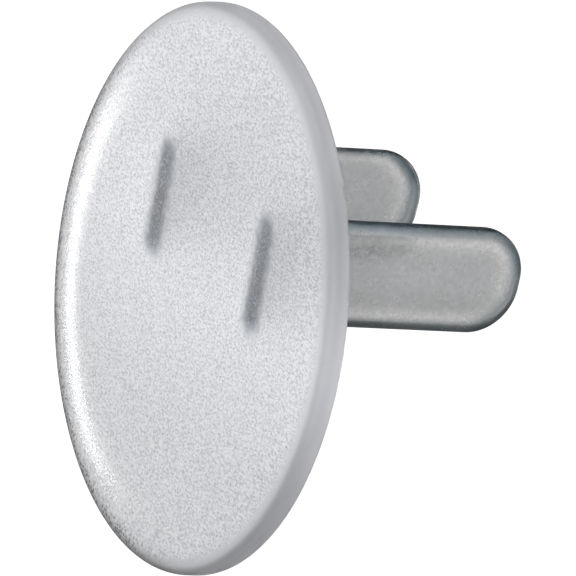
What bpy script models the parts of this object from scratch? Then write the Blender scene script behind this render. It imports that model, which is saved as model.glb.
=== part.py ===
"""Outlet safety cap: one moulding of frosted plastic that closes a wall outlet.

A thin round plate covers the outlet's face, and two flat blades on its back
push into the slots. Plate and blades are one piece, with no metal and nothing
that moves.

The cap stands as it does on the wall: +Z is up, the face looks along -Y and
the blades run along +Y. The origin is the middle of the plate's back, which
is the face that meets the outlet. Lengths are in metres.
"""

import math

import bmesh
import bpy
from mathutils import Vector

# Plate
PLATE_RADIUS = 0.0165
PLATE_THICKNESS = 0.0016
CROWN_WIDTH = 0.0026
CROWN_DROP = 0.0002
FRONT_EDGE_RADIUS = 0.0006
BACK_EDGE_RADIUS = 0.00025

# Blades
BLADE_SPACING = 0.0127
BLADE_RISE = 0.0036
BLADE_WIDTH = 0.00635
BLADE_THICKNESS = 0.0014
BLADE_LENGTH = 0.0163
BLADE_TIP_RADIUS = 0.0029
BLADE_EDGE_RADIUS = 0.0006
BLADE_ROOT_FILLET = 0.0003

# Facets
PLATE_STEPS = 96
CROWN_STEPS = 3
ROUND_STEPS = 5
TIP_STEPS = 9

# Frosted plastic
PLASTIC_COLOUR = (0.72, 0.74, 0.75, 1.0)
PLASTIC_ROUGHNESS = 0.45
SHARP_ANGLE = math.radians(40)
WELD_DISTANCE = 0.000001


def steps(first, last, count):
    """Evenly spaced values from first to last, both included."""
    return [first + (last - first) * i / count for i in range(count + 1)]


def clear_scene():
    """Removes every object that is in the scene."""
    for thing in list(bpy.data.objects):
        bpy.data.objects.remove(thing, do_unlink=True)


def plate_profile():
    """(radius, depth behind the face) along the plate's section, from its axis to the back face.

    The face is flat in the middle. Near the rim it falls away along a shallow
    arc, the crown, which runs smoothly into the rounded front edge.
    """
    arc_radius = (CROWN_WIDTH**2 + CROWN_DROP**2) / (2 * CROWN_DROP)
    slope = math.asin(CROWN_WIDTH / arc_radius)
    crown_start = PLATE_RADIUS - FRONT_EDGE_RADIUS * (1 - math.sin(slope)) - CROWN_WIDTH
    edge_centre = CROWN_DROP + FRONT_EDGE_RADIUS * math.cos(slope)
    points = [(0.0, 0.0)]
    for angle in steps(0, slope, CROWN_STEPS):
        points.append((crown_start + arc_radius * math.sin(angle), arc_radius * (1 - math.cos(angle))))
    for angle in steps(slope, math.pi / 2, ROUND_STEPS)[1:]:
        radius = PLATE_RADIUS - FRONT_EDGE_RADIUS * (1 - math.sin(angle))
        points.append((radius, edge_centre - FRONT_EDGE_RADIUS * math.cos(angle)))
    for angle in steps(0, math.pi / 2, ROUND_STEPS):
        radius = PLATE_RADIUS - BACK_EDGE_RADIUS * (1 - math.cos(angle))
        points.append((radius, PLATE_THICKNESS - BACK_EDGE_RADIUS * (1 - math.sin(angle))))
    return points


def add_plate(mesh):
    """Turns the plate's section about the Y axis. Its back stays open for the blades."""
    corners = [mesh.verts.new((radius, depth - PLATE_THICKNESS, 0)) for radius, depth in plate_profile()]
    section = [mesh.edges.new(pair) for pair in zip(corners, corners[1:])]
    bmesh.ops.spin(
        mesh, geom=corners + section, cent=(0, 0, 0), axis=(0, 1, 0), angle=2 * math.pi, steps=PLATE_STEPS
    )
    bmesh.ops.remove_doubles(mesh, verts=mesh.verts[:], dist=WELD_DISTANCE)


def blade_outline(inset):
    """(reach, height) round a blade seen from its side, from the root's top to its bottom, drawn in by inset."""
    tip_radius = min(BLADE_TIP_RADIUS, BLADE_WIDTH / 2 - WELD_DISTANCE)
    reach = BLADE_LENGTH - tip_radius
    height = BLADE_WIDTH / 2 - tip_radius
    radius = tip_radius - inset
    top = [(BLADE_ROOT_FILLET, height + radius)]
    for angle in steps(math.pi / 2, 0, TIP_STEPS):
        top.append((reach + radius * math.cos(angle), height + radius * math.sin(angle)))
    bottom = [(y, -z) for y, z in reversed(top)]
    return top + bottom


def edge_layers():
    """(across, inset, angle) for each layer of a blade, from one flat side to the other."""
    edge_radius = min(BLADE_EDGE_RADIUS, BLADE_THICKNESS / 2 - WELD_DISTANCE)
    flat = BLADE_THICKNESS / 2 - edge_radius
    one_side = []
    for angle in steps(math.pi / 2, 0, ROUND_STEPS):
        one_side.append((flat + edge_radius * math.sin(angle), edge_radius * (1 - math.cos(angle)), angle))
    other_side = [(-across, inset, -angle) for across, inset, angle in reversed(one_side)]
    return one_side + other_side


def add_strip(mesh, first, second, closed=False):
    """Fills between two rows of vertices of the same length."""
    pairs = list(zip(first, second))
    if closed:
        pairs.append(pairs[0])
    for (a, b), (c, d) in zip(pairs, pairs[1:]):
        mesh.faces.new((a, b, d, c))


def add_root_fillet(mesh, rows, layers):
    """Flares a blade's root out to the plate's back. The last ring stays open on the back's plane."""
    ring = [row[0] for row in rows] + [row[-1] for row in reversed(rows)]
    outward = [Vector((math.sin(angle), 0, math.cos(angle))) for _, _, angle in layers]
    outward += [Vector((way.x, 0, -way.z)) for way in reversed(outward)]
    places = [vertex.co.copy() for vertex in ring]
    for angle in steps(0, math.pi / 2, ROUND_STEPS)[1:]:
        spread = BLADE_ROOT_FILLET * (1 - math.cos(angle))
        sink = Vector((0, BLADE_ROOT_FILLET * math.sin(angle), 0))
        lower = [mesh.verts.new(place - sink + way * spread) for place, way in zip(places, outward)]
        add_strip(mesh, ring, lower, closed=True)
        ring = lower


def add_blade(mesh, side):
    """Adds a blade to one side, +1 or -1, as layers of its outline across its thickness."""
    centre = Vector((side * BLADE_SPACING / 2, 0, BLADE_RISE))
    layers = edge_layers()
    rows = []
    for across, inset, _ in layers:
        row = [mesh.verts.new(centre + Vector((across, y, z))) for y, z in blade_outline(inset)]
        rows.append(row)
    for row, following in zip(rows, rows[1:]):
        add_strip(mesh, row, following)
    for row in (rows[0], rows[-1]):
        half = len(row) // 2
        add_strip(mesh, row[:half], row[: half - 1 : -1])
    add_root_fillet(mesh, rows, layers)


def close_back(mesh):
    """Fills the plate's back between its rim and the two blade roots."""
    open_edges = [edge for edge in mesh.edges if edge.is_boundary]
    bmesh.ops.triangle_fill(mesh, edges=open_edges, use_beauty=True, use_dissolve=False)


def frosted_plastic():
    """Pale grey frosted plastic."""
    material = bpy.data.materials.new("frosted_plastic")
    material.use_nodes = True
    shader = material.node_tree.nodes["Principled BSDF"]
    shader.inputs["Base Color"].default_value = PLASTIC_COLOUR
    shader.inputs["Roughness"].default_value = PLASTIC_ROUGHNESS
    shader.inputs["Metallic"].default_value = 0.0
    return material


def make_cap():
    """Models the whole cap as one closed solid."""
    mesh = bmesh.new()
    add_plate(mesh)
    add_blade(mesh, -1)
    add_blade(mesh, 1)
    close_back(mesh)
    bmesh.ops.recalc_face_normals(mesh, faces=mesh.faces[:])
    data = bpy.data.meshes.new("safety_cap")
    mesh.to_mesh(data)
    mesh.free()
    data.shade_smooth()
    data.set_sharp_from_angle(angle=SHARP_ANGLE)
    data.materials.append(frosted_plastic())
    cap = bpy.data.objects.new("safety_cap", data)
    bpy.context.scene.collection.objects.link(cap)
    return cap


clear_scene()
make_cap()
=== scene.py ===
# %% [markdown]
# The object is an outlet safety cap: a thin round plate of frosted, see-through
# plastic with two flat blades moulded to its back. It closes a wall outlet, so
# that small fingers can't reach the slots.
#
# The imported CAD model is the fixed frame of this lesson. It says where the cap
# is and how big it is: +Z is up, the face looks along -Y, the blades run along
# +Y, and all lengths are in metres.

# %% Load the frame
import math

import bmesh
import bpy
from mathutils import Matrix, Vector


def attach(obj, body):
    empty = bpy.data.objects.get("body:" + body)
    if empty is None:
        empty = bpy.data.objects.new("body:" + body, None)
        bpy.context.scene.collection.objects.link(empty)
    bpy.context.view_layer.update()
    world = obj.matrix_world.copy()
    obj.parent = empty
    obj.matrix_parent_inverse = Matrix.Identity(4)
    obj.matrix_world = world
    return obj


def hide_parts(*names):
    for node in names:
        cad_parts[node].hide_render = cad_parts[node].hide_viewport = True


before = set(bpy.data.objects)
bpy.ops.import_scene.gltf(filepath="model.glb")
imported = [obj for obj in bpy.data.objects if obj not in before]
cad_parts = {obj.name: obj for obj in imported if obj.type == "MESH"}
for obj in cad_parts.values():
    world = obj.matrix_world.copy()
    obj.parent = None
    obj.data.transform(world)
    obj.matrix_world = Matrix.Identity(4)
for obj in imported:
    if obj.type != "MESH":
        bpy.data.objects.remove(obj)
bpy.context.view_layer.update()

MM = 0.001

# %% [markdown]
# The camera comes first, because every finish is judged through it. It looks at
# the cap from its front right and a little above, through a long lens, as in a
# catalogue picture. A long lens keeps the plate's round edge an even oval. The
# cap leans in the picture, so the camera rolls instead of the cap: a part that
# others reuse stays upright in its own frame.

# %% Place the camera
CAMERA_PLACE = Vector((0.493908, -0.291735, 0.178640))
CAMERA_TARGET = Vector((0.002031, 0.003981, 0.001004))
CAMERA_ROLL = math.radians(12.747)
CAMERA_LENS = 653.3

camera = bpy.data.objects.new("camera", bpy.data.cameras.new("camera"))
bpy.context.scene.collection.objects.link(camera)
level = (CAMERA_TARGET - CAMERA_PLACE).to_track_quat("-Z", "Y").to_matrix()
turned = level @ Matrix.Rotation(CAMERA_ROLL, 3, "Z")
camera.matrix_world = Matrix.Translation(CAMERA_PLACE) @ turned.to_4x4()
camera.data.lens = CAMERA_LENS
camera.data.clip_start = 0.01
camera.data.clip_end = 100.0
bpy.context.scene.camera = camera
bpy.context.scene.view_settings.view_transform = "Standard"
print("camera distance in mm:", round((CAMERA_TARGET - CAMERA_PLACE).length / MM, 1))

# %% [markdown]
# Both the form and the finish are made from nodes. Three short helpers keep the
# rest readable: one fills a socket with a value or a link, one adds a node, and
# one does a sum. They work alike in geometry trees and in materials.

# %% Helpers for nodes
def put(tree, socket, value):
    """Links a socket to another node's output, or sets its value."""
    if isinstance(value, bpy.types.NodeSocket):
        tree.links.new(value, socket)
    else:
        socket.default_value = value


def add(tree, kind, inputs=None, **settings):
    """Adds a node. Its inputs are given by name or by number."""
    node = tree.nodes.new(kind)
    for name, value in settings.items():
        setattr(node, name, value)
    for key, value in (inputs or {}).items():
        put(tree, node.inputs[key], value)
    return node


def calc(tree, operation, first, second=0.0):
    """Adds one sum and returns its result."""
    return add(tree, "ShaderNodeMath", {0: first, 1: second}, operation=operation).outputs[0]


print("node helpers ready")

# %% [markdown]
# The cap follows a rule from end to end: a section turned about an axis, and one
# blade placed twice. So Geometry Nodes make it, and every size is a named input
# that can be turned like a dial. Modelling it by hand would look the same, but a
# changed size would then mean modelling it again.
#
# The tree works lying down, with the face below and the blades standing up
# along +Z. Its last step turns the cap to hang on the wall.

# %% Name the cap's sizes
CROWN_SLOPE = math.radians(8.8)
CAP_SIZES = {
    "Plate radius": 16.5 * MM,
    "Plate thickness": 1.6 * MM,
    "Crown run": 1.8 * MM,
    "Crown fall": 1.8 * MM * math.tan(CROWN_SLOPE),
    "Crown rounding": 17.0 * MM,
    "Front edge rounding": 0.6 * MM,
    "Back edge rounding": 0.25 * MM,
    "Blade spacing": 12.7 * MM,
    "Blade rise": 3.6 * MM,
    "Blade length": 16.3 * MM,
    "Blade width": 6.35 * MM,
    "Blade thickness": 1.4 * MM,
    "Blade tip rounding": 2.9 * MM,
    "Blade edge rounding": 0.6 * MM,
    "Root fillet": 0.3 * MM,
    "Flat margin": 0.15 * MM,
}
print("sizes of the cap that can be set:", len(CAP_SIZES))

# %% [markdown]
# A round form is drawn in short straight steps. Most of them go to the rim and to
# the blades' tips, whose outlines are seen against a bright backdrop, and few to
# the roundings, which are small.
#
# The sizes then become inputs of an empty Geometry Nodes tree, with the material
# as one input more.

# %% Open the form's tree
RIM_STEPS = 240
FRONT_STEPS = 12
BACK_STEPS = 8
TIP_STEPS = 28
EDGE_STEPS = 10
FILLET_STEPS = 8
WELD = 0.002 * MM

form = bpy.data.node_groups.new("cap_form", "GeometryNodeTree")
form_inputs = {}
for name, value in CAP_SIZES.items():
    socket = form.interface.new_socket(name=name, in_out="INPUT", socket_type="NodeSocketFloat")
    socket.default_value = value
    form_inputs[name] = socket.identifier
socket = form.interface.new_socket(name="Plastic", in_out="INPUT", socket_type="NodeSocketMaterial")
form_inputs["Plastic"] = socket.identifier
form.interface.new_socket(name="Geometry", in_out="OUTPUT", socket_type="NodeSocketGeometry")
size = form.nodes.new("NodeGroupInput").outputs
print("inputs of the form:", len(form_inputs))

# %% [markdown]
# Every section here is a line with rounded corners. The helper lays a mesh line
# with one point per corner, moves each point to its place by its number, turns
# the line into a curve and rounds each corner with Fillet Curve.

# %% Helpers for the form
def corner(x, y, z=0.0):
    """A point from three lengths."""
    return add(form, "ShaderNodeCombineXYZ", {0: x, 1: y, 2: z}).outputs[0]


def by_number(data_type, values):
    """Gives each point the value that has its number in a list."""
    number = add(form, "GeometryNodeInputIndex").outputs[0]
    switch = add(form, "GeometryNodeIndexSwitch", data_type=data_type)
    while len(switch.index_switch_items) < len(values):
        switch.index_switch_items.new()
    put(form, switch.inputs[0], number)
    for place, value in enumerate(values):
        put(form, switch.inputs[place + 1], value)
    return switch.outputs[0]


def rounded_line(corners, radii, counts):
    """A curve through the corners, with each of them rounded to its own radius."""
    line = add(form, "GeometryNodeMeshLine", {"Count": len(corners)}).outputs[0]
    moves = {"Geometry": line, "Position": by_number("VECTOR", corners)}
    placed = add(form, "GeometryNodeSetPosition", moves).outputs[0]
    curve = add(form, "GeometryNodeMeshToCurve", {"Mesh": placed}).outputs[0]
    rounding = add(form, "GeometryNodeFilletCurve", mode="POLY")
    put(form, rounding.inputs["Curve"], curve)
    put(form, rounding.inputs["Count"], by_number("INT", counts))
    put(form, rounding.inputs["Radius"], by_number("FLOAT", radii))
    return rounding.outputs[0]


print("helpers for rounded lines ready")

# %% [markdown]
# A section that is carried along a path makes a skin. The other helpers here put
# skins together: one moves a part, one joins parts and welds the points where
# they meet, and the rest pick points and edges by where they are. An edge with a
# face on one side only is where a skin is still open.

# %% Helpers for skins
def sweep(path, section):
    """Carries a section along a path. Its x points to the right of travel, and its y down."""
    return add(form, "GeometryNodeCurveToMesh", {"Curve": path, "Profile Curve": section}).outputs[0]


def moved(geometry, **changes):
    """Moves or turns some geometry."""
    inputs = {"Geometry": geometry}
    inputs.update({name.capitalize(): value for name, value in changes.items()})
    return add(form, "GeometryNodeTransform", inputs).outputs[0]


def welded(*parts):
    """Joins parts and merges the points where they meet."""
    joined = add(form, "GeometryNodeJoinGeometry")
    for part in parts:
        form.links.new(part, joined.inputs[0])
    merging = {"Geometry": joined.outputs[0], "Distance": WELD}
    return add(form, "GeometryNodeMergeByDistance", merging).outputs[0]


def open_edges():
    """True on the edges that have a face on one side only."""
    faces = add(form, "GeometryNodeInputMeshEdgeNeighbors").outputs[0]
    alone = add(form, "FunctionNodeCompare", data_type="INT", operation="EQUAL")
    put(form, alone.inputs["A"], faces)
    put(form, alone.inputs["B"], 1)
    return alone.outputs[0]


def both(first, second):
    """True where both are true."""
    return add(form, "FunctionNodeBooleanMath", {0: first, 1: second}, operation="AND").outputs[0]


def here():
    """The x, y and z of each point or edge."""
    place = add(form, "GeometryNodeInputPosition").outputs[0]
    return add(form, "ShaderNodeSeparateXYZ", {0: place}).outputs


print("helpers for skins ready")

# %% [markdown]
# The plate is 33 mm across and 1.6 mm thick. Its face is flat in the middle and
# falls away near the rim in a shallow crown, which later catches a long bright
# reflection. The front edge is well rounded and the back edge hardly at all, as
# on a moulding whose two halves part near its back.
#
# One section, from the axis out over the face and round the rim, is swept along
# the rim's circle. It ends in a short flat margin on the back. The blades get
# such margins too, beside their roundings, because they keep the shading of big
# flat faces clean.

# %% Sweep the plate
rim_up = calc(form, "SUBTRACT", size["Plate thickness"], size["Crown fall"])
to_axis = calc(form, "MULTIPLY", size["Plate radius"], -1.0)
to_crown = calc(form, "MULTIPLY", size["Crown run"], -1.0)
back_edge = calc(form, "ADD", size["Back edge rounding"], size["Flat margin"])
plate_section = rounded_line(
    [
        corner(to_axis, size["Plate thickness"]),
        corner(to_crown, size["Plate thickness"]),
        corner(0.0, rim_up),
        corner(0.0, 0.0),
        corner(calc(form, "MULTIPLY", back_edge, -1.0), 0.0),
    ],
    [0.0, size["Crown rounding"], size["Front edge rounding"], size["Back edge rounding"], 0.0],
    [0, FRONT_STEPS, FRONT_STEPS, BACK_STEPS, 0],
)
rim_circle = {"Resolution": RIM_STEPS, "Radius": size["Plate radius"]}
rim = add(form, "GeometryNodeCurvePrimitiveCircle", rim_circle)
plate = sweep(rim.outputs[0], plate_section)
print("rim sides:", RIM_STEPS)

# %% [markdown]
# A blade is 6.35 mm wide, 12.7 mm from its neighbour and 1.4 mm thick. Its tip is
# almost a half circle, and its long edges are nearly half round too, so that it
# slides into the outlet's springs.
#
# The rounded edge is a section swept along the blade's outline, from the root
# round the tip and back. A plain box with its edges bevelled would do as well,
# but its bevel would pinch where the tip is round.

# %% Sweep a blade's edge
half_width = calc(form, "MULTIPLY", size["Blade width"], 0.5)
half_thickness = calc(form, "MULTIPLY", size["Blade thickness"], 0.5)
low_side = calc(form, "MULTIPLY", half_width, -1.0)
blade_outline = rounded_line(
    [
        corner(size["Root fillet"], low_side),
        corner(size["Blade length"], low_side),
        corner(size["Blade length"], half_width),
        corner(size["Root fillet"], half_width),
    ],
    [0.0, size["Blade tip rounding"], size["Blade tip rounding"], 0.0],
    [0, TIP_STEPS, TIP_STEPS, 0],
)
edge_depth = calc(form, "ADD", size["Blade edge rounding"], size["Flat margin"])
inward = calc(form, "MULTIPLY", edge_depth, -1.0)
under = calc(form, "MULTIPLY", half_thickness, -1.0)
edge_section = rounded_line(
    [corner(inward, under), corner(0.0, under), corner(0.0, half_thickness), corner(inward, half_thickness)],
    [0.0, size["Blade edge rounding"], size["Blade edge rounding"], 0.0],
    [0, EDGE_STEPS, EDGE_STEPS, 0],
)
edge_strip = sweep(blade_outline, edge_section)
print("rounding of a blade's edge in mm:", round(CAP_SIZES["Blade edge rounding"] / MM, 2))

# %% [markdown]
# The swept strip leaves both flat sides of the blade open. Each is filled from the
# strip's own open edges, so that it fits them exactly. The blade is made lying on
# its side, and then stands up on its root.

# %% Fill a blade's flat sides
def blade_side(way):
    """Fills one flat side of the blade, above (+1) or below (-1)."""
    along, _, level = here()
    past_root = calc(form, "GREATER_THAN", along, calc(form, "ADD", size["Root fillet"], 0.01 * MM))
    reach = calc(form, "SUBTRACT", half_thickness, 0.001 * MM)
    on_side = calc(form, "GREATER_THAN", calc(form, "MULTIPLY", level, way), reach)
    chosen = both(open_edges(), both(on_side, past_root))
    loop = add(form, "GeometryNodeMeshToCurve", {"Mesh": edge_strip, "Selection": chosen}).outputs[0]
    flat = add(form, "GeometryNodeFillCurve", {"Curve": loop}, mode="NGONS").outputs[0]
    return moved(flat, translation=corner(0.0, 0.0, calc(form, "MULTIPLY", half_thickness, way)))


lying_blade = welded(edge_strip, blade_side(1.0), blade_side(-1.0))
blade = moved(lying_blade, rotation=(0.0, -math.pi / 2, 0.0))
print("blade stands on its root")

# %% [markdown]
# Where a blade meets the plate the mould leaves a small fillet, because a sharp
# inner corner would crack. The fillet is a quarter circle that flares out from
# the blade's root to the plate's back.
#
# It has to know, for each point at the root, which way is outward. On the flat
# sides that is straight out, and at the rounded edges it turns with them. Each
# point keeps its start and its outward way as attributes, which later steps read.

# %% Mark the blade's root
def beyond(value, reach):
    """How far a value lies beyond plus or minus reach, with its sign."""
    excess = calc(form, "SUBTRACT", calc(form, "ABSOLUTE", value), reach)
    return calc(form, "MULTIPLY", calc(form, "MAXIMUM", excess, 0.0), calc(form, "SIGN", value))


def keep(geometry, name, value):
    """Stores a vector on every point."""
    inputs = {"Geometry": geometry, "Name": name, "Value": value}
    node = add(form, "GeometryNodeStoreNamedAttribute", inputs, data_type="FLOAT_VECTOR", domain="POINT")
    return node.outputs[0]


def kept(name):
    """Reads a vector that was stored on every point."""
    node = add(form, "GeometryNodeInputNamedAttribute", {"Name": name}, data_type="FLOAT_VECTOR")
    return node.outputs[0]


def vector_sum(operation, first, second):
    """Adds one sum of two vectors."""
    return add(form, "ShaderNodeVectorMath", {0: first, 1: second}, operation=operation).outputs[0]


x, y, _ = here()
core_x = calc(form, "SUBTRACT", half_thickness, size["Blade edge rounding"])
core_y = calc(form, "SUBTRACT", half_width, size["Blade edge rounding"])
outward = corner(beyond(x, core_x), beyond(y, core_y))
outward = add(form, "ShaderNodeVectorMath", {0: outward}, operation="NORMALIZE").outputs[0]
blade = keep(blade, "root_way", outward)
blade = keep(blade, "root_start", add(form, "GeometryNodeInputPosition").outputs[0])
print("root points keep: root_way, root_start")

# %% [markdown]
# A repeat zone draws the fillet. Each round pushes out the open edge at the root
# and moves it to the next place on the quarter circle. The last round adds the
# flat margin. Because each place is worked out from the kept start, the rounds
# don't depend on each other.

# %% Flare the blade's root
round_start = form.nodes.new("GeometryNodeRepeatInput")
round_end = form.nodes.new("GeometryNodeRepeatOutput")
round_start.pair_with_output(round_end)
put(form, round_start.inputs["Iterations"], FILLET_STEPS + 1)
put(form, round_start.inputs["Geometry"], blade)
number = round_start.outputs["Iteration"]
share = calc(form, "MINIMUM", calc(form, "DIVIDE", calc(form, "ADD", number, 1.0), FILLET_STEPS), 1.0)
turn = calc(form, "MULTIPLY", share, math.pi / 2)
spread = calc(form, "SUBTRACT", 1.0, calc(form, "COSINE", turn))
flare = calc(form, "MULTIPLY", size["Root fillet"], spread)
last = calc(form, "GREATER_THAN", number, FILLET_STEPS - 0.5)
flare = calc(form, "ADD", flare, calc(form, "MULTIPLY", last, size["Flat margin"]))
fall = calc(form, "MULTIPLY", calc(form, "MULTIPLY", size["Root fillet"], calc(form, "SINE", turn)), -1.0)
step_out = add(form, "ShaderNodeVectorMath", {0: kept("root_way"), "Scale": flare}, operation="SCALE")
next_place = vector_sum("ADD", kept("root_start"), step_out.outputs[0])
next_place = vector_sum("ADD", next_place, corner(0.0, 0.0, fall))
pushed = add(
    form,
    "GeometryNodeExtrudeMesh",
    {"Mesh": round_start.outputs["Geometry"], "Selection": open_edges(), "Offset Scale": 0.0},
    mode="EDGES",
)
placing = {"Geometry": pushed.outputs["Mesh"], "Selection": pushed.outputs["Top"], "Position": next_place}
put(form, round_end.inputs["Geometry"], add(form, "GeometryNodeSetPosition", placing).outputs[0])
flared_blade = round_end.outputs["Geometry"]
print("fillet rounds:", FILLET_STEPS + 1)

# %% [markdown]
# The one blade is now placed at two points, as a slot is cut twice in an outlet.
# The plate's back still has no face: it is bounded by its rim and by two blade
# roots. These open edges become curves, and Fill Curve closes the back round
# both roots. After a last weld the cap is one closed skin, as a moulding is.

# %% Place the blades and close the back
left_slot = corner(
    calc(form, "MULTIPLY", size["Blade spacing"], -0.5),
    calc(form, "MULTIPLY", size["Blade rise"], -1.0),
)
to_right_slot = corner(size["Blade spacing"], 0.0)
slot_line = {"Count": 2, "Start Location": left_slot, "Offset": to_right_slot}
slots = add(form, "GeometryNodeMeshLine", slot_line).outputs[0]
placed = add(form, "GeometryNodeInstanceOnPoints", {"Points": slots, "Instance": flared_blade})
blades = add(form, "GeometryNodeRealizeInstances", {"Geometry": placed.outputs[0]}).outputs[0]
shell = welded(plate, blades)

x, y, _ = here()
from_pole = calc(form, "ADD", calc(form, "ABSOLUTE", x), calc(form, "ABSOLUTE", y))
off_axis = calc(form, "GREATER_THAN", from_pole, 0.1 * MM)
open_loops = {"Mesh": shell, "Selection": both(open_edges(), off_axis)}
loops = add(form, "GeometryNodeMeshToCurve", open_loops).outputs[0]
back = add(form, "GeometryNodeFillCurve", {"Curve": loops}, mode="TRIANGLES").outputs[0]
whole = moved(welded(shell, back), rotation=(-math.pi / 2, 0.0, 0.0))
for name in ("root_way", "root_start"):
    whole = add(form, "GeometryNodeRemoveAttribute", {"Geometry": whole, "Name": name}).outputs[0]
whole = add(form, "GeometryNodeSetShadeSmooth", {"Geometry": whole, "Shade Smooth": True}).outputs[0]
whole = add(form, "GeometryNodeRealizeInstances", {"Geometry": whole}).outputs[0]
whole = add(form, "GeometryNodeSetMaterial", {"Geometry": whole, "Material": size["Plastic"]}).outputs[0]
put(form, form.nodes.new("NodeGroupOutput").inputs[0], whole)
print("nodes in the cap's form:", len(form.nodes))

# %% [markdown]
# The tree hangs on an empty mesh as a modifier. Its inputs are set through the
# sockets' identifiers, before Blender works the tree out for the first time. The
# result is then kept as a plain mesh and the modifier goes. Sweeps can leave
# faces that look inwards, so the normals are turned out once more, and the mesh
# is checked for holes: light passes through this plastic, and a hole would let
# it leak.

# %% Bake the cap
plastic = bpy.data.materials.new("frosted_plastic")
plastic.use_nodes = True


def bake_cap():
    """Works the tree out and returns the cap as an object with a plain mesh."""
    holder = bpy.data.objects.new("cap", bpy.data.meshes.new("cap_holder"))
    bpy.context.scene.collection.objects.link(holder)
    modifier = holder.modifiers.new("cap_form", "NODES")
    modifier.node_group = form
    for name, value in CAP_SIZES.items():
        modifier[form_inputs[name]] = value
    modifier[form_inputs["Plastic"]] = plastic
    evaluated = holder.evaluated_get(bpy.context.evaluated_depsgraph_get())
    mesh = bpy.data.meshes.new_from_object(evaluated)
    holder.modifiers.remove(modifier)
    mesh.name = "cap"
    holder.data = mesh
    return holder


cap = bake_cap()
skin = bmesh.new()
skin.from_mesh(cap.data)
bmesh.ops.recalc_face_normals(skin, faces=skin.faces[:])
skin.to_mesh(cap.data)
print("cap faces:", len(skin.faces), "open edges:", sum(not edge.is_manifold for edge in skin.edges))
print("cap volume in cubic mm:", round(skin.calc_volume(signed=True) / MM**3, 1))
skin.free()
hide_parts("safety_cap")
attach(cap, "root")

# %% [markdown]
# The finish is one plastic with several surfaces, because the mould is sanded on
# the face and smooth elsewhere. It is one material, as the cap is one shot of
# plastic, and every difference between its surfaces is a pattern.
#
# Such patterns are built from a few kinds of sum, and each kind gets a helper: a
# smooth step from one value to another, a product, a total and a difference.

# %% Helpers for the finish
nodes = plastic.node_tree
shader = nodes.nodes["Principled BSDF"]


def ease(tree, value, low, high, first=0.0, last=1.0):
    """Runs smoothly from first to last while the value goes from low to high."""
    inputs = {"Value": value, "From Min": low, "From Max": high, "To Min": first, "To Max": last}
    node = add(tree, "ShaderNodeMapRange", inputs, interpolation_type="SMOOTHSTEP")
    return node.outputs["Result"]


def fade(value, low, high, first=0.0, last=1.0):
    """The same smooth step, in the plastic's own tree."""
    return ease(nodes, value, low, high, first, last)


def over(tree, share, below, above):
    """Lays one value over another by a share from 0 to 1."""
    return add(tree, "ShaderNodeMix", {0: share, 2: below, 3: above}, data_type="FLOAT").outputs[0]


def times(first, *others):
    """Multiplies values in the plastic's tree."""
    for other in others:
        first = calc(nodes, "MULTIPLY", first, other)
    return first


def plus(first, *others):
    """Adds values up in the plastic's tree."""
    for other in others:
        first = calc(nodes, "ADD", first, other)
    return first


def minus(first, second):
    """Takes one value from another in the plastic's tree."""
    return calc(nodes, "SUBTRACT", first, second)


print("helpers for steps and sums ready")

# %% [markdown]
# A finish without any pattern looks like a drawing. Two kinds of pattern are
# enough here: soft noise, for all that is uneven, and round flecks in cells, for
# grains that stand out one by one.

# %% Helpers for patterns
def noise(place, scale, detail=2.0, roughness=0.5):
    """Soft random pattern from 0 to 1, with that many features per millimetre."""
    inputs = {"Vector": place, "Scale": scale, "Detail": detail, "Roughness": roughness}
    return add(nodes, "ShaderNodeTexNoise", inputs).outputs[0]


def flecks(place, scale, size, share):
    """Small round flecks, 1 inside and 0 outside. Only a share of the cells gets one."""
    cells = add(nodes, "ShaderNodeTexVoronoi", {"Vector": place, "Scale": scale}, voronoi_dimensions="2D")
    chosen = calc(nodes, "LESS_THAN", cells.outputs["Color"], share)
    near = fade(cells.outputs["Distance"], size * scale * 0.5, size * scale, 1.0, 0.0)
    return times(near, chosen)


print("helpers for patterns ready")

# %% [markdown]
# The material reads the object's own coordinates, turned to millimetres, so each
# pattern has its real size and stays put when the cap is seen from another side.
#
# First come the zones, each a soft mask from 0 to 1: the face, the polished
# crown, the sandblasted part, the blades, the back and the rim. The crown is
# polished only toward the lower left, where the mould was rubbed most. How far a
# place lies that way is the cosine of its angle, from -1 to 1.

# %% Zones of the moulding
LEFT_WAY = (-0.899, 0.0, -0.438)

own = add(nodes, "ShaderNodeTexCoord").outputs["Object"]
place = add(nodes, "ShaderNodeMapping", {"Vector": own, "Scale": (1 / MM, 1 / MM, 1 / MM)}).outputs[0]
across, depth, height = add(nodes, "ShaderNodeSeparateXYZ", {0: place}).outputs
flat_place = add(nodes, "ShaderNodeCombineXYZ", {0: across, 2: height}).outputs[0]
from_axis = add(nodes, "ShaderNodeVectorMath", {0: flat_place}, operation="LENGTH").outputs["Value"]
turned_left = add(nodes, "ShaderNodeVectorMath", {0: flat_place, 1: LEFT_WAY}, operation="DOT_PRODUCT")
to_left = calc(nodes, "DIVIDE", turned_left.outputs["Value"], calc(nodes, "MAXIMUM", from_axis, 1.0))

on_face = fade(depth, -1.5, -1.2, 1.0, 0.0)
crown_ring = times(fade(from_axis, 12.0, 13.6), fade(from_axis, 14.7, 15.5, 1.0, 0.0))
on_crown = times(crown_ring, fade(to_left, 0.05, 0.8), on_face)
grain_reach = minus(from_axis, fade(to_left, 0.0, 0.5, 0.0, 0.6))
on_grain = times(fade(depth, -1.35, -0.9, 1.0, 0.0), fade(grain_reach, 15.2, 16.1, 1.0, 0.0))
on_blade = fade(depth, 0.02, 0.3)
on_back = minus(fade(depth, -0.25, -0.05), on_blade)
on_rim = minus(1.0, calc(nodes, "MAXIMUM", on_grain, calc(nodes, "MAXIMUM", on_back, on_blade)))
print("zones of the moulding: face, crown, grain, rim, back, blades")

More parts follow.
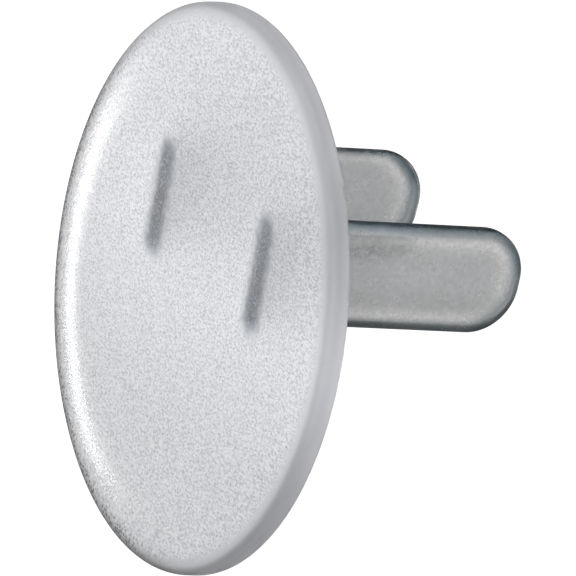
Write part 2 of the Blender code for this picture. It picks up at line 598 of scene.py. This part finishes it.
# %% [markdown]
# The face is sandblasted in the mould. Up close the grain is a dense field of
# pits about 0.15 mm across. It fades out at the rim and on the polished crown.
# The rim's wall keeps faint lines that run round it, and the blades are softly
# uneven, as thin plastic is when it cools.
#
# A noise pattern suits each of them, because nothing in them repeats: fine for
# the pits, drawn out for the lines, slow for the blades. All three are heights
# in millimetres for one Bump node.

# %% Relief of the grain, the rim and the blades
PIT_HEIGHT = 0.003
RIM_LINE_HEIGHT = 0.004
WAVE_HEIGHT = 0.02
CROWN_POLISH = 0.75

wide_place = add(nodes, "ShaderNodeMapping", {"Vector": place, "Scale": (0.6, 1.0, 1.0)}).outputs[0]
long_place = add(nodes, "ShaderNodeMapping", {"Vector": place, "Scale": (0.25, 5.0, 0.25)}).outputs[0]
pits = noise(wide_place, 8.0, 2.0, 0.6)
rim_lines = noise(long_place, 1.0, 3.0, 0.6)
waves = noise(place, 0.9, 3.0, 0.55)
pitted = minus(on_grain, times(on_crown, CROWN_POLISH))
relief = plus(
    times(pits, PIT_HEIGHT, pitted),
    times(rim_lines, RIM_LINE_HEIGHT, on_rim),
    times(waves, WAVE_HEIGHT, on_blade),
)
bump = add(nodes, "ShaderNodeBump", {"Height": relief, "Distance": MM})
put(nodes, shader.inputs["Normal"], bump.outputs[0])
print("pit height in mm:", PIT_HEIGHT)

# %% [markdown]
# The pits also tint the face a little, because light gathers in them. On top lie
# slower dapples of 0.3 mm and clouds of 1 mm, and a few dark and pale flecks. A
# belt of darker flecks along the left edge is painted shade, broken up like the
# grain, where the edge turns away from the light; it is stronger towards the bottom.
#
# All of them are tones: 1 changes nothing, less is darker. Multiplied, they make
# the speckle of the face.

# %% Speckle of the face
SPECKLE = 0.33
DAPPLES = 0.1
CLOUDS = 0.05
FLECK_DEPTH = 0.35
EDGE_FLECK_SHADE = 0.5

flat_view = add(nodes, "ShaderNodeCombineXYZ", {0: across, 1: height}).outputs[0]
pit_tone = fade(pits, 0.2, 0.8, 1.0 - SPECKLE * 1.5, 1.0 + SPECKLE)
dapple_tone = fade(noise(place, 3.0), 0.2, 0.8, 1.0 - DAPPLES, 1.0 + DAPPLES)
cloud_tone = fade(noise(place, 0.9, 3.0, 0.6), 0.3, 0.7, 1.0 - CLOUDS, 1.0)
dark_flecks = times(flecks(flat_view, 1.8, 0.07, 0.35), FLECK_DEPTH)
pale_flecks = times(flecks(flat_view, 3.6, 0.06, 0.4), FLECK_DEPTH / 2)
# Painted shade: a belt of dark flecks along the left edge, stronger towards the bottom.
edge_fleck_shade = times(
    flecks(flat_view, 4.2, 0.13, 0.5),
    fade(from_axis, 14.7, 15.9, 0.0, EDGE_FLECK_SHADE),
    fade(to_left, -0.1, 0.6),
    fade(height, -12.0, -3.0, 1.7, 1.1),
)
fleck_and_edge_shade_tone = minus(plus(minus(1.0, dark_flecks), pale_flecks), edge_fleck_shade)
grain_and_edge_shade_tone = over(nodes, on_grain, 1.0, times(pit_tone, dapple_tone, cloud_tone, fleck_and_edge_shade_tone))
print("speckle of the face:", SPECKLE)

# %% [markdown]
# The plate's rim is darker than its face wherever the plastic bends light away,
# and this shade is painted. Along the left the front edge is painted dark,
# raggedly, as the grain breaks up there. At the very top the back edge is painted
# as a thin dark line of shade.
#
# The strength of each is a product of smooth steps: one for where the edge
# begins, the others for how far round the plate it reaches.

# %% Painted shade on the plate's edges
PLATE_EDGE_SHADE = 0.9
EDGE_RAGGED = 2.2
TOP_LINE_SHADE = 0.25

ragged_reach = plus(from_axis, times(minus(pits, 0.5), EDGE_RAGGED))
wall_share = fade(height, 2.0, 11.0, 0.5, 0.0)
# Painted shade along the front edge, mostly on the left.
plate_edge_shade = times(
    fade(ragged_reach, 15.55, 16.15, 0.0, PLATE_EDGE_SHADE),
    fade(across, 1.0, 9.0, 1.0, 0.0),
    fade(height, 4.0, 13.0, 1.0, 0.15),
    fade(height, -14.0, -4.0, 0.45, 1.0),
    fade(depth, -1.15, -0.8, 1.0, wall_share),
)
# Painted shade: a thin dark line along the back edge at the top.
top_line_shade = times(
    fade(depth, -0.26, -0.16, 0.0, TOP_LINE_SHADE),
    fade(height, 14.2, 15.8),
    fade(from_axis, 16.0, 16.2),
)
painted_edge_shade_of_plate = minus(1.0, calc(nodes, "MAXIMUM", plate_edge_shade, top_line_shade))
print("darkening of the plate's edge:", PLATE_EDGE_SHADE)

# %% [markdown]
# A row of tones along a distance is easier to read as a list than as a sum. So
# the next helper turns such a list into a Color Ramp node. Its dark tones may
# turn a little blue, as clear plastic does where it is deep.
#
# The rim's wall uses it at once, for painted shading: from its front edge to its
# back edge it goes through a painted soft dark line of shade, where the crown
# ends, to a painted light band. The rim is also painted darker towards the
# bottom and a little towards the top.

# %% Painted shading of the rim's wall
RIM_SHADES = (0.6, 0.91)
RIM_TOP_SHADE = 0.9
WALL_SHADING_TONES = (
    (0.06, 1.0),
    (0.12, 0.8),
    (0.16, 0.68),
    (0.19, 0.67),
    (0.25, 0.76),
    (0.31, 0.86),
    (0.41, 0.95),
    (0.59, 1.06),
    (0.8, 1.2),
    (0.9, 1.27),
)
THICKNESS_MM = CAP_SIZES["Plate thickness"] / MM


def tone_ramp(value, stops, blue=0.0):
    """Runs through tones at positions from 0 to 1. Dark tones turn a little blue."""
    ramp = add(nodes, "ShaderNodeValToRGB", {0: value})
    elements = ramp.color_ramp.elements
    while len(elements) < len(stops):
        elements.new(0.5)
    for element, (position, tone) in zip(elements, stops):
        element.position = position
        chill = blue * (1.0 - tone) ** 3
        element.color = (tone * (1.0 - chill), tone, tone * (1.0 + chill / 2), 1.0)
    return ramp.outputs[0]


# Painted shade and a painted light band across the rim's wall.
painted_wall_shading = tone_ramp(calc(nodes, "DIVIDE", plus(depth, THICKNESS_MM), THICKNESS_MM), WALL_SHADING_TONES)
# Painted shade: the rim is darker towards the bottom and a little towards the top.
painted_rim_shade = times(fade(height, -11.0, 3.0, *RIM_SHADES), fade(height, 2.0, 10.0, 1.0, RIM_TOP_SHADE))
print("tones along the rim's wall:", len(WALL_SHADING_TONES))

# %% [markdown]
# A blade's rounded edges look almost black, with a bright line just inside them.
# Light that enters there is bent and led away through the plastic, and little
# comes back. Refraction alone shows this only under one studio's lamps, so the
# dark shade and the bright line are also painted, by the distance from the
# blade's outline. That outline is a rounded rectangle, whose distance is a short
# sum.

# %% Distance from a blade's outline
BLADE_RISE_MM = CAP_SIZES["Blade rise"] / MM
BLADE_HALF_MM = CAP_SIZES["Blade width"] / MM / 2
BLADE_TIP_MM = CAP_SIZES["Blade tip rounding"] / MM
BLADE_LENGTH_MM = CAP_SIZES["Blade length"] / MM


def depth_inside(first, second, first_reach, second_reach, rounding):
    """Distance inside a rounded rectangle, in millimetres. Negative means outside."""
    first = minus(first, first_reach - rounding)
    second = minus(second, second_reach - rounding)
    nearer = calc(nodes, "MINIMUM", calc(nodes, "MAXIMUM", first, second), 0.0)
    first = calc(nodes, "MAXIMUM", first, 0.0)
    second = calc(nodes, "MAXIMUM", second, 0.0)
    outside = plus(calc(nodes, "SQRT", plus(times(first, first), times(second, second))), nearer)
    return minus(rounding, outside)


above_middle = minus(height, BLADE_RISE_MM)
up_blade = calc(nodes, "ABSOLUTE", above_middle)
tip_inset = plus(fade(across, -1.0, 1.0, 0.3, 0.13), fade(above_middle, -2.6, -0.8, 0.2, 0.0))
from_outline = depth_inside(up_blade, plus(depth, tip_inset), BLADE_HALF_MM, BLADE_LENGTH_MM, BLADE_TIP_MM)
print("blade outline in mm:", BLADE_LENGTH_MM, "by", BLADE_HALF_MM * 2)

# %% [markdown]
# The painted shade along that distance, and the painted bright line inside it,
# come from a list again. The blade on the left is the thinner looking one of the
# two: its upper edge shows a narrower dark band, so its distance is stretched
# there.

# %% Painted shade along the blades' edges
BLADE_EDGE_SHADING = (
    (0.0, 0.1),
    (0.05, 0.17),
    (0.1, 0.28),
    (0.16, 0.42),
    (0.22, 0.68),
    (0.28, 0.88),
    (0.34, 0.95),
    (0.4, 0.91),
    (0.48, 0.80),
    (0.6, 0.72),
    (0.8, 0.69),
)
EDGE_BLUE = 0.5
EDGE_TONE_REACH = 2.5
NARROW_TOP = 0.7
NARROW_SHIFT = 0.28

narrow_top = times(
    fade(above_middle, 1.0, 2.2),
    fade(across, -1.0, 1.0, NARROW_TOP, 0.0),
    fade(depth, 12.5, 14.5, 1.0, 0.0),
)
edge_way = plus(times(from_outline, plus(narrow_top, 1.0)), times(narrow_top, NARROW_SHIFT))
# Painted shade along the blade's outline, with a painted bright line inside it.
painted_edge_shade_and_light = tone_ramp(calc(nodes, "DIVIDE", edge_way, EDGE_TONE_REACH), BLADE_EDGE_SHADING, EDGE_BLUE)
print("edge tones over mm:", EDGE_TONE_REACH)

# %% [markdown]
# At the tips a painted highlight, a pale rim of light, stays on the very edge,
# because the tip is turned to the bright side of the studio. It lies over the
# edge's painted shade by a share. The helper for that mixes two colours, and the
# later colours use it too.

# %% Painted highlight on the blades' tips
TIP_LIGHT = (0.8, 0.8, 0.8, 1.0)
TIP_LIGHT_SHARE = 0.85


def tint(share, below, above, blend="MIX"):
    """Lays one colour over another, or multiplies by it, by a share from 0 to 1."""
    inputs = {0: share, 6: below, 7: above}
    return add(nodes, "ShaderNodeMix", inputs, data_type="RGBA", blend_type=blend).outputs[2]


near_tip = fade(depth, BLADE_LENGTH_MM - 1.8, BLADE_LENGTH_MM - 0.8)
# A painted highlight along the tip's very edge.
tip_share = times(fade(from_outline, -0.08, 0.12, TIP_LIGHT_SHARE, 0.0), near_tip)
painted_edge_shade_and_light = tint(tip_share, painted_edge_shade_and_light, TIP_LIGHT)
print("light on the tips:", TIP_LIGHT[:3])

# %% [markdown]
# The flat of a blade isn't one tone either. It is mottled, and painted shade
# makes it darker in a band near its lower edge. Painted light makes it lighter
# near the root above its middle, where light from the plate reaches it.

# %% Mottle, painted shade and painted light of the blades' flats
SLOW_MOTTLE = 0.03
FINE_MOTTLE = 0.14
LOW_EDGE_SHADE = 0.72
LOW_SHADE_DIP = 0.12
ROOT_LIGHT = 0.2

mottle = times(
    fade(waves, 0.25, 0.75, 1.0 - SLOW_MOTTLE, 1.0 + SLOW_MOTTLE),
    fade(noise(place, 4.0, 3.0, 0.7), 0.25, 0.75, 1.0 - FINE_MOTTLE, 1.0 + FINE_MOTTLE),
)
# Painted shade: a darker band near the lower edge.
low_edge_shade = fade(above_middle, -2.9, -2.2, LOW_EDGE_SHADE, 1.0)
low_shade_dip = times(fade(above_middle, -2.4, -1.9), fade(above_middle, -1.6, -0.2, 1.0, 0.0), LOW_SHADE_DIP)
# Painted light near the root, above the middle.
root_light = times(fade(depth, 5.0, 10.0, ROOT_LIGHT, 0.0), fade(above_middle, 0.0, 1.4))
blade_mottle_and_shading = times(mottle, plus(minus(low_edge_shade, low_shade_dip), root_light))
print("mottled blades ready")

# %% [markdown]
# Through the frosted face the two blade roots show as dark, soft-edged stripes:
# there the light runs on into the blade and is lost. Refraction draws them in
# the render only faintly, so a painted stripe lies over each, and shows in any
# viewer. It lies a little towards +X, between where the root is and where it
# shows from the cap's front right. The grain makes its outline ragged.

# %% Stripes over the blade roots
STRIPE_SHIFT = 1.5
STRIPE_LEAN = 0.1
STRIPE_RISE = 0.1
STRIPE_HALF_WIDTH = 0.95
STRIPE_HALF_HEIGHT = BLADE_HALF_MM + 0.2
STRIPE_ROUNDING = 0.9
STRIPE_WAVY = 1.1
STRIPE_RAGGED = 2.4
STRIPE_COLOUR = (0.3, 0.327, 0.362, 1.0)

upright = plus(across, times(above_middle, STRIPE_LEAN))
from_middle = calc(nodes, "ABSOLUTE", minus(upright, STRIPE_SHIFT))
from_slot = calc(nodes, "ABSOLUTE", minus(from_middle, CAP_SIZES["Blade spacing"] / MM / 2))
up_stripe = calc(nodes, "ABSOLUTE", minus(height, BLADE_RISE_MM + STRIPE_RISE))
in_stripe = depth_inside(from_slot, up_stripe, STRIPE_HALF_WIDTH, STRIPE_HALF_HEIGHT, STRIPE_ROUNDING)
ragged = plus(
    times(minus(noise(place, 2.2, 3.0, 0.6), 0.5), STRIPE_WAVY),
    times(minus(pits, 0.5), STRIPE_RAGGED),
)
stripe = times(fade(plus(in_stripe, ragged), -0.5, 0.6), fade(pits, 0.25, 0.75, 1.3, 0.7), on_face)
print("stripe colour:", STRIPE_COLOUR[:3])

# %% [markdown]
# A used moulding has small marks: dust in a scratch, a nick from a fall. There
# are a dozen here, on the rim and the crown. Each is a place in millimetres and
# a reach. Where two of them overlap, the darker one counts.

# %% Specks and nicks
SPECK_DARK = 0.6
SPECKS = (
    ((-1.9, -1.45, 16.3), 0.12),
    ((-1.3, -1.5, 16.15), 0.07),
    ((1.2, -1.2, 16.42), 0.08),
    ((1.05, -1.05, 16.48), 0.08),
    ((0.85, -0.55, 16.5), 0.08),
    ((2.1, -0.45, 16.4), 0.07),
    ((9.93, -1.6, -8.17), 0.11),
    ((10.49, -1.6, -7.72), 0.1),
    ((13.05, -1.57, -6.6), 0.11),
    ((11.28, -1.6, -6.24), 0.08),
    ((11.41, -1.6, -6.53), 0.08),
    ((14.8, -1.5, -3.9), 0.1),
)

specks = 0.0
for middle, reach in SPECKS:
    away = add(nodes, "ShaderNodeVectorMath", {0: place, 1: middle}, operation="DISTANCE").outputs["Value"]
    specks = calc(nodes, "MAXIMUM", fade(away, reach / 2, reach, SPECK_DARK, 0.0), specks)
print("specks:", len(SPECKS))

# %% [markdown]
# The plastic has hardly any colour: the face is a cool white, the rim a shade
# darker, and the blades are a plain grey, as clear plastic is in thickness. Each
# of these is multiplied by the tones made so far, which are grain, mottle and
# marks, and painted shade and light.

# %% Colour
FACE_COLOUR = (0.925, 0.937, 0.957, 1.0)
RIM_COLOUR = (0.85, 0.855, 0.885)
BLADE_COLOUR = (0.79, 0.79, 0.79, 1.0)


def dim(colour, tone):
    """Multiplies a colour by a grey tone."""
    return add(nodes, "ShaderNodeVectorMath", {0: colour, "Scale": tone}, operation="SCALE").outputs[0]


# The plate's grain together with its painted shade and light.
plate_grain_and_shading = times(grain_and_edge_shade_tone, painted_edge_shade_of_plate, painted_wall_shading)
plate_colour = dim(tint(on_face, dim(RIM_COLOUR, painted_rim_shade), FACE_COLOUR), plate_grain_and_shading)
plate_colour = tint(stripe, plate_colour, STRIPE_COLOUR, "MULTIPLY")
plate_colour = dim(plate_colour, minus(1.0, specks))
blade_colour = tint(1.0, dim(painted_edge_shade_and_light, blade_mottle_and_shading), BLADE_COLOUR, "MULTIPLY")
put(nodes, shader.inputs["Base Color"], tint(on_blade, plate_colour, blade_colour))
print("face colour:", FACE_COLOUR[:3], "blade colour:", BLADE_COLOUR[:3])

# %% [markdown]
# Roughness decides how the moulding takes light. The sanded face and the rim
# scatter it, the polished crown mirrors it, the hidden back is left as coarse as
# the mould's core, and the blades are satin.

# %% Gloss
FACE_ROUGHNESS = 0.55
CROWN_ROUGHNESS = 0.18
RIM_ROUGHNESS = 0.6
BACK_ROUGHNESS = 0.9
BLADE_ROUGHNESS = (0.18, 0.28)

gloss = over(nodes, on_face, RIM_ROUGHNESS, FACE_ROUGHNESS)
gloss = over(nodes, on_crown, gloss, CROWN_ROUGHNESS)
gloss = over(nodes, on_back, gloss, BACK_ROUGHNESS)
gloss = over(nodes, on_blade, gloss, fade(waves, 0.3, 0.7, *BLADE_ROUGHNESS))
put(nodes, shader.inputs["Roughness"], gloss)
print("roughness of the face:", FACE_ROUGHNESS)

# %% [markdown]
# The plastic lets most light through, bends it as polypropylene does and absorbs
# a little on the way. Long paths through the blades are therefore darker than short
# ones through the plate. These values are the same everywhere, so they are set on
# the shader itself.

# %% Depth of the plastic
REFRACTION = 1.5
CLEARNESS = 0.7
ABSORPTION = 40.0

shader.inputs["IOR"].default_value = REFRACTION
shader.inputs["Transmission Weight"].default_value = CLEARNESS
inside = add(nodes, "ShaderNodeVolumeAbsorption", {"Color": (0.0, 0.0, 0.0, 1.0), "Density": ABSORPTION})
put(nodes, nodes.nodes["Material Output"].inputs["Volume"], inside.outputs[0])
print("nodes in the plastic:", len(nodes.nodes))

# %% [markdown]
# The studio is plain. The world is white for the camera alone, and grey for all
# other rays, so the object isn't washed out. It darkens overhead, as a room's
# ceiling does above soft boxes, which gives the blades their dark upper edges.
#
# Light Path tells the rays apart: what is seen, what shows through the plastic,
# what is mirrored in it, and plain light.

# %% World
ROOM_LIGHT = 0.16
CEILING_LIGHT = 0.05
ROOM_THROUGH = 0.35
CEILING_THROUGH = 0.05
ROOM_MIRRORED = 0.06

world = bpy.data.worlds.new("studio")
bpy.context.scene.world = world
world.use_nodes = True
room = world.node_tree


def by_ray(tree, seen, through, mirrored, plain):
    """One strength each for what is seen, what shows through, what is mirrored, and plain light."""
    rays = add(tree, "ShaderNodeLightPath").outputs
    strength = over(tree, rays["Is Glossy Ray"], plain, mirrored)
    strength = over(tree, rays["Is Transmission Ray"], strength, through)
    return over(tree, rays["Is Camera Ray"], strength, seen)


up = add(room, "ShaderNodeSeparateXYZ", {0: add(room, "ShaderNodeTexCoord").outputs["Generated"]}).outputs[2]
through_room = ease(room, up, 0.2, 0.8, ROOM_THROUGH, CEILING_THROUGH)
plain_room = ease(room, up, 0.1, 0.8, ROOM_LIGHT, CEILING_LIGHT)
sky = room.nodes["Background"]
sky.inputs["Color"].default_value = (1.0, 1.0, 1.0, 1.0)
put(room, sky.inputs["Strength"], by_ray(room, 1.0, through_room, ROOM_MIRRORED, plain_room))
print("room light:", ROOM_LIGHT)

# %% [markdown]
# Three lamps finish the light. A broad soft one stands at the front left and
# lights the face. A second, weaker, stands on the right and lights the rim's wall
# and the blades. A small card low on the left is placed where the crown mirrors
# it, and draws the bright band along the plate's left edge. The camera sees none
# of them.

# %% Lamps
KEY_PLACE = Vector((-0.14, -0.5, 0.28))
KEY_WIDTH = 0.35
KEY_POWER = 2.92
SIDE_PLACE = Vector((0.47, -0.3, 0.17))
SIDE_WIDTH = 0.3
SIDE_POWER = 1.8
CARD_PLACE = Vector((-0.097, -0.0455, -0.030))
CARD_WIDTH = 0.014
CARD_HEIGHT = 0.05
CARD_POWER = 0.011
CARD_ROLL = math.radians(4)
PLATE_LEFT = Vector((-CAP_SIZES["Plate radius"], -CAP_SIZES["Plate thickness"], 0.0))


def soft_lamp(name, place, target, width, height, power, roll=0.0):
    """A soft lamp at a place, which faces a target. It is an oval, so that it mirrors without corners."""
    light = bpy.data.lights.new(name, "AREA")
    light.shape = "ELLIPSE"
    light.size = width
    light.size_y = height
    light.energy = power
    lamp = bpy.data.objects.new(name, light)
    bpy.context.scene.collection.objects.link(lamp)
    lamp.location = place
    facing = (target - place).to_track_quat("-Z", "Y").to_matrix()
    lamp.rotation_euler = (facing @ Matrix.Rotation(roll, 3, "Z")).to_euler()
    lamp.visible_camera = False
    return lamp


soft_lamp("key_lamp", KEY_PLACE, Vector(), KEY_WIDTH, KEY_WIDTH, KEY_POWER)
soft_lamp("edge_card", CARD_PLACE, PLATE_LEFT, CARD_WIDTH, CARD_HEIGHT, CARD_POWER, CARD_ROLL)
soft_lamp("side_lamp", SIDE_PLACE, Vector(), SIDE_WIDTH, SIDE_WIDTH, SIDE_POWER)
print("lamps: key_lamp, edge_card, side_lamp")

# %% [markdown]
# A pale floor lies a little below the cap and takes its soft shadow. It glows for
# rays that are seen or that pass through the plastic, hardly for mirrored ones,
# and not at all as plain light. That lifts it to the white of the backdrop
# without throwing more light on the cap.

# %% Floor
FLOOR_LEVEL = -0.05
FLOOR_REACH = 3.0
FLOOR_GLOW = 0.9
FLOOR_THROUGH = 0.88
FLOOR_MIRRORED = 0.02
FLOOR_GREY = 0.55

floor_mesh = bpy.data.meshes.new("floor")
floor_corners = [
    (side * FLOOR_REACH, end * FLOOR_REACH, FLOOR_LEVEL) for side, end in ((-1, -1), (1, -1), (1, 1), (-1, 1))
]
floor_mesh.from_pydata(floor_corners, [], [(0, 1, 2, 3)])
floor = bpy.data.objects.new("floor", floor_mesh)
bpy.context.scene.collection.objects.link(floor)
paint = bpy.data.materials.new("floor_paint")
paint.use_nodes = True
painted = paint.node_tree
matt = painted.nodes["Principled BSDF"]
matt.inputs["Base Color"].default_value = (FLOOR_GREY, FLOOR_GREY, FLOOR_GREY, 1.0)
matt.inputs["Roughness"].default_value = 1.0
matt.inputs["Specular IOR Level"].default_value = 0.0
glow = add(painted, "ShaderNodeEmission")
put(painted, glow.inputs["Strength"], by_ray(painted, FLOOR_GLOW, FLOOR_THROUGH, FLOOR_MIRRORED, 0.0))
lit = add(painted, "ShaderNodeAddShader", {0: matt.outputs[0], 1: glow.outputs[0]})
put(painted, painted.nodes["Material Output"].inputs["Surface"], lit.outputs[0])
floor_mesh.materials.append(paint)
print("floor level in mm:", FLOOR_LEVEL / MM)
